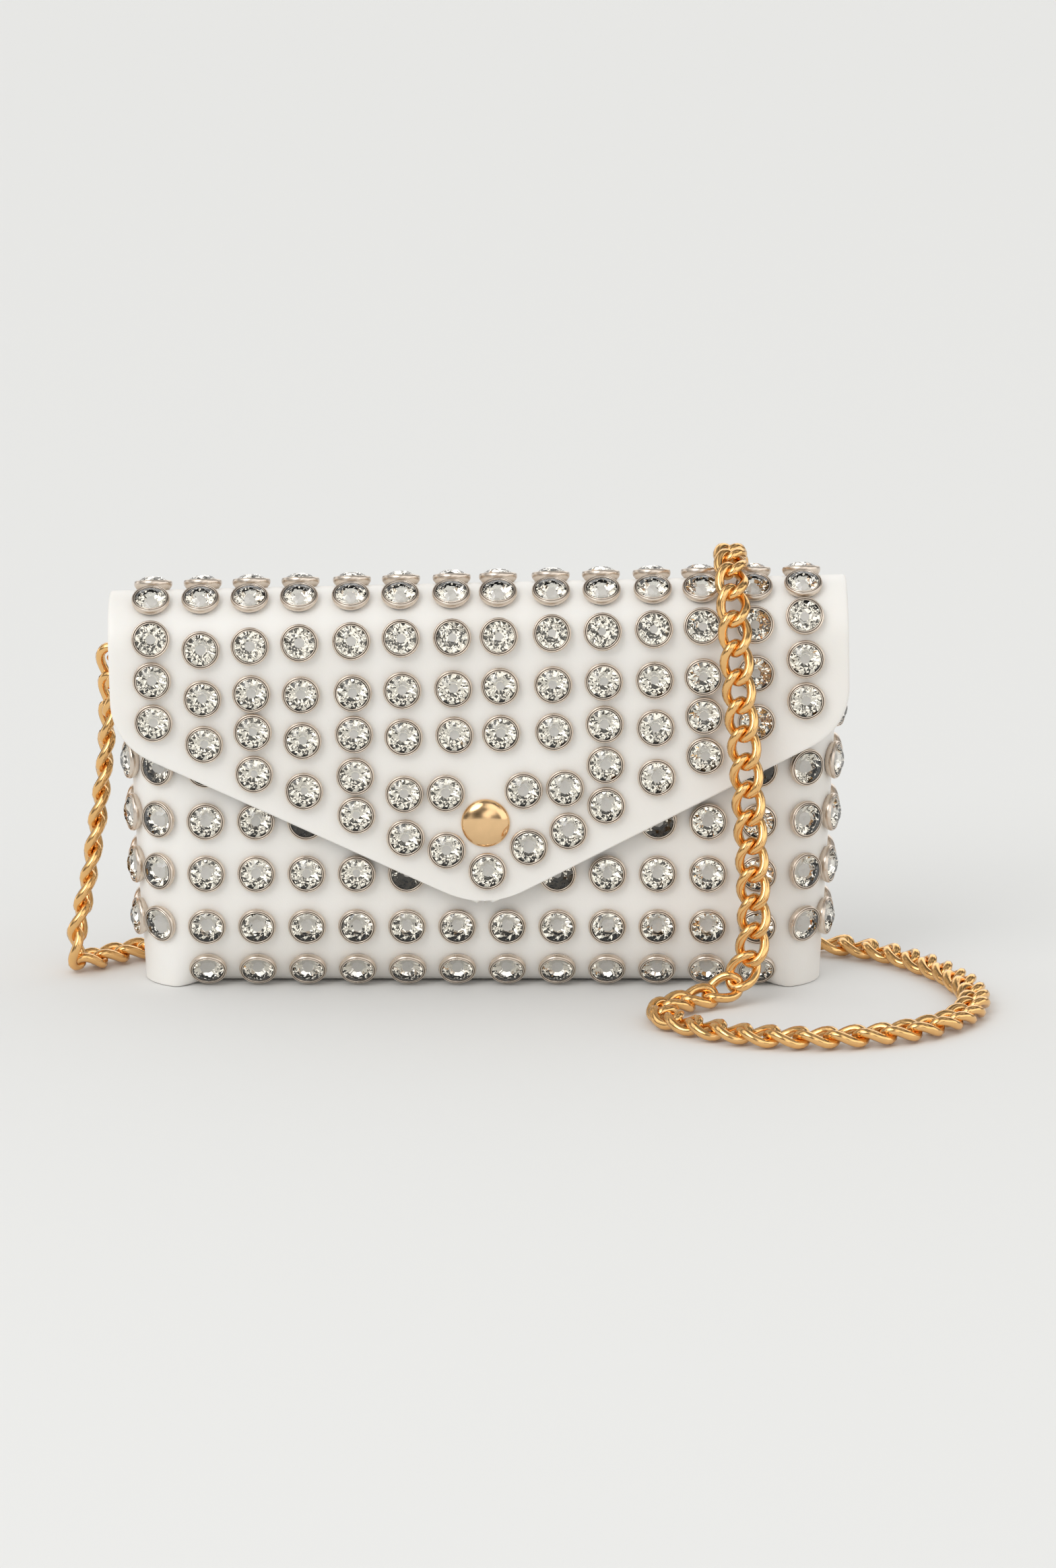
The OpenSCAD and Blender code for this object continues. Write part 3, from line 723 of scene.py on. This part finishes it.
side_studs = GROUPS["side_left"][0] + GROUPS["side_right"][0]
for name, side, key, top in (
    ("front_leather", -1, "front", WALL_H), ("back_leather", 1, "back", MOUTH_H),
):
    o = pouch_half(name, side, GROUPS[key][0] + side_studs, top)
    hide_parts("front_shell" if side < 0 else "back_shell")
    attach(o, "pouch")
LINING_IN, LINING_T = T + 0.15, 0.6
for name, side, top in (
    ("front_lining_cloth", -1, WALL_H - 1), ("back_lining_cloth", 1, MOUTH_H - 1),
):
    o = sheet_solid(
        name, shell_grid(LINING_IN, side, LINING_IN + 1, top),
        shell_grid(LINING_IN + LINING_T, side, LINING_IN + 1.6, top), [LINING, LINING], LINING, k=2,
    )
    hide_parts("front_lining" if side < 0 else "back_lining")
    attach(o, "pouch")


# ------------------------------------------------------------------ flap
def flap_half_widths():
    """Half-width of the flap against height, from the wrap of its rounded corners."""
    pts = []
    corner_x = FLAP_W / 2 - CORNER_R
    for a in np.linspace(0, 2 * math.pi, 721):
        pts.append((corner_x + CORNER_R * math.cos(a), CORNER_Z + CORNER_R * math.sin(a)))
        pts.append((TIP_R * math.cos(a), TIP_H + TIP_R + TIP_R * math.sin(a)))
    pts.append((FLAP_W / 2, MOUTH_H))
    pts = {(round(x, 6), round(z, 6)) for x, z in pts if x >= -0.01}

    def turns_in(a, b, c):
        return (b[0] - a[0]) * (c[1] - a[1]) - (b[1] - a[1]) * (c[0] - a[0]) <= 0

    hull = []
    for p in sorted(pts, key=lambda q: (q[1], q[0])):
        while len(hull) >= 2 and turns_in(hull[-2], hull[-1], p):
            hull.pop()
        hull.append(p)
    return np.array(hull)


HULL = flap_half_widths()


def flap_w(z):
    if z >= MOUTH_H:
        return FLAP_W / 2
    return float(np.interp(z, HULL[:, 1], HULL[:, 0]))


QUARTER = FOLD_R * math.pi / 2


def flap_point(x, s, depth):
    """A point of the flap's sheet: s runs along it from 0 at the crest, over the fold and down."""
    if s < QUARTER:
        a = math.pi / 2 - s / FOLD_R
        r = FOLD_R - depth
        return (x, FOLD_Y - r * math.cos(a), MOUTH_H + r * math.sin(a))
    return (x, FRONT_Y + depth, MOUTH_H - (s - QUARTER))


SEAM_S = -FOLD_R * math.radians(SEAM_DEG)   # where the flap's two sheets of leather meet


def flap_front_sheet():
    edge = T / 2
    s_rows = list(np.linspace(SEAM_S, QUARTER, 26))
    z_end = TIP_H + edge + 0.08
    down = list(np.arange(MOUTH_H - 1.4, z_end + 3.5, -1.4))
    down += [z_end + 3, z_end + 2, z_end + 1.2, z_end + 0.6, z_end + 0.25, z_end]
    s_rows += [QUARTER + MOUTH_H - z for z in down]
    n = 128
    outer, inner = [], []
    for s in s_rows:
        z = MOUTH_H - (s - QUARTER) if s > QUARTER else MOUTH_H
        # the outline steps in by half the thickness, which the rounded edge gives back
        w = flap_w(max(z - edge * 0.9, TIP_H)) if z < CORNER_Z else FLAP_W / 2
        w = max(w - edge, 1.6)
        xs = np.linspace(-w, w, n)
        outer.append([flap_point(x, s, 0.0) for x in xs])
        inner.append([flap_point(x, s, T) for x in xs])
    shift = v3(LEATHER_X, 0, 0)
    outer, inner = sloped(np.asarray(outer) + shift), sloped(np.asarray(inner) + shift)
    nrm = outer - inner
    nrm /= np.linalg.norm(nrm, axis=-1)[..., None]
    d = pucker(outer, GROUPS["flap"][0] + GROUPS["flap_top"][0], 0.15)
    z = outer[..., 2]
    wave = 0.3 * np.sin(outer[..., 0] / 27 + 0.6) * np.sin(z / 24) * smooth(TOP_H - 4, 90, z)
    outer = outer + nrm * (d + wave)[..., None]
    inner = inner + nrm * wave[..., None]
    # past OUTER_SHARE the flap's rounded edge turns near-black towards the underside
    return sheet_solid("flap_front_leather", outer, inner, [LEATHER, UNDER], DARK_EDGE, k=5)


def flap_back_sheet():
    """From its lapped edge on the back wall, up over the rear fold to the seam behind the crest."""
    rows = []
    for z in np.linspace(81, 91, 8):
        out = HALF_D - lean(1, z)
        rows.append(((out + LAP, z), (out + LAP_GAP, z)))
    for deg in np.linspace(180, 90 - math.degrees(SEAM_S / FOLD_R), 30):
        a = math.radians(deg)
        lap = LAP * smooth(158, 180, deg)
        inner_r = FOLD_R - T + (T + LAP_GAP) * smooth(160, 177, deg)
        co, si = -math.cos(a), math.sin(a)
        rows.append(((FOLD_Y + (FOLD_R + lap) * co, MOUTH_H + (FOLD_R + lap) * si),
                     (FOLD_Y + inner_r * co, MOUTH_H + inner_r * si)))
    w = FLAP_W / 2 - T / 2
    xs = np.linspace(-w, w, 128)
    outer = sloped([[(x + LEATHER_X, r[0][0], r[0][1]) for x in xs] for r in rows])
    inner = sloped([[(x + LEATHER_X, r[1][0], r[1][1]) for x in xs] for r in rows])
    nrm = outer - inner
    nrm /= np.linalg.norm(nrm, axis=-1)[..., None]
    d = pucker(outer, GROUPS["flap_top"][0] + GROUPS["flap"][0], 0.15)
    outer = outer + nrm * d[..., None]
    return sheet_solid("flap_back_leather", outer, inner, [LEATHER, UNDER], LEATHER, k=4)


flap_front = flap_front_sheet()
flap_back = flap_back_sheet()
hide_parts("flap_front", "flap_front_lining")
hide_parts("flap_top", "flap_top_lining")
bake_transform(flap_front)
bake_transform(flap_back)

# ------------------------------------------------------------------ metal parts
DOME_R, DOME_RISE = 6.3, 2.3
dome = [(6.0, -0.1), (6.25, 0.25), (DOME_R, 0.55)]
for a in np.linspace(0.08, math.pi / 2, 18):
    dome.append((DOME_R * math.cos(a), 0.6 + DOME_RISE * math.sin(a)))
snap_place = sloped((SNAP[0], FRONT_Y, SNAP[1])), v3(0, -1, 0)
cap = stamp("snap_dome", lathe(dome, 64), [snap_place], [PALE_GOLD])
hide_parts("snap_cap")
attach(cap, "flap_face")

# the CAD's own pieces that show as they are
FINISH = {
    GOLD: ("snap_socket", "snap_stud", "snap_post", "tab_rivet_left", "tab_rivet_right",
           "d_ring_left", "d_ring_right", "jump_ring_left", "jump_ring_right"),
    LEATHER: ("ring_tab_left", "ring_tab_right", "mouth_binding"),
    LINING: ("slip_pocket", "card_pocket"),
    BOARD: ("base_board",),
}
for material, names in FINISH.items():
    for node in names:
        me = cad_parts[node].data
        me.materials.clear()
        me.materials.append(material)
        if material == GOLD:
            me.polygons.foreach_set("use_smooth", ["ring" in node] * len(me.polygons))

# ------------------------------------------------------------------ stage and light
floor_mat, nt, b = nodes_of("stage")
set_in(b, Base_Color=(0.80, 0.80, 0.79, 1), Roughness=0.9)
b.inputs["Specular IOR Level"].default_value = 0.1
bpy.ops.mesh.primitive_plane_add(size=30, location=(0, 8, -0.0002))
floor = bpy.context.object
floor.name = "stage_floor"
floor.data.materials.append(floor_mat)

world = bpy.data.worlds.new("world")
scene.world = world
world.use_nodes = True
wn = world.node_tree
bg = wn.nodes["Background"]
tc = wn.nodes.new("ShaderNodeTexCoord")
lp = wn.nodes.new("ShaderNodeLightPath")


def world_ramp(source, stops):
    r = ramp(wn, source, [(p, (c, c * 0.985, c * 0.965)) for p, c in stops])
    return r.outputs["Color"]


def world_mix(way, a, b):
    m = wn.nodes.new("ShaderNodeMix")
    m.data_type = "RGBA"
    wn.links.new(lp.outputs[way], m.inputs["Factor"])
    wn.links.new(a, m.inputs["A"])
    if isinstance(b, tuple):
        m.inputs["B"].default_value = b
    else:
        wn.links.new(b, m.inputs["B"])
    return m.outputs["Result"]


# hard-edged light and dark for what leaves the cut glass, broad soft boxes for the metal,
# an even grey for the diffuse light
vor = wn.nodes.new("ShaderNodeTexVoronoi")
vor.inputs["Scale"].default_value = 2.8
wn.links.new(tc.outputs["Generated"], vor.inputs["Vector"])
broad = wn.nodes.new("ShaderNodeTexNoise")
broad.inputs["Scale"].default_value = 1.7
broad.inputs["Detail"].default_value = 1.0
wn.links.new(tc.outputs["Generated"], broad.inputs["Vector"])
glass_light = world_ramp(
    vor.outputs["Distance"], [(0.0, 0.05), (0.40, 0.09), (0.45, 0.60), (0.51, 1.75), (0.8, 1.35)]
)
metal_light = world_ramp(
    broad.outputs["Fac"], [(0.30, 0.10), (0.44, 0.32), (0.52, 0.95), (0.62, 1.45)]
)
both = world_mix("Is Transmission Ray", metal_light, glass_light)
wn.links.new(world_mix("Is Diffuse Ray", both, (0.87, 0.87, 0.86, 1)), bg.inputs["Color"])
bg.inputs["Strength"].default_value = 1.0


def lamp(data, aim, loc=(0, 0, 0)):
    o = bpy.data.objects.new(data.name, data)
    o.location = loc
    o.rotation_euler = Vector(aim).to_track_quat("-Z", "Y").to_euler()
    scene.collection.objects.link(o)


sun = bpy.data.lights.new("key", "SUN")
sun.energy = 0.62
sun.angle = math.radians(38)
lamp(sun, (0.45, 0.62, -0.64))
glow = bpy.data.lights.new("glow", "AREA")
glow.shape = "RECTANGLE"
glow.size, glow.size_y = 0.35, 0.35
glow.energy = 0.8
GLOW_AT = Vector((-0.5, -0.9, 0.75))
lamp(glow, Vector((0, 0, 0.06)) - GLOW_AT, GLOW_AT)
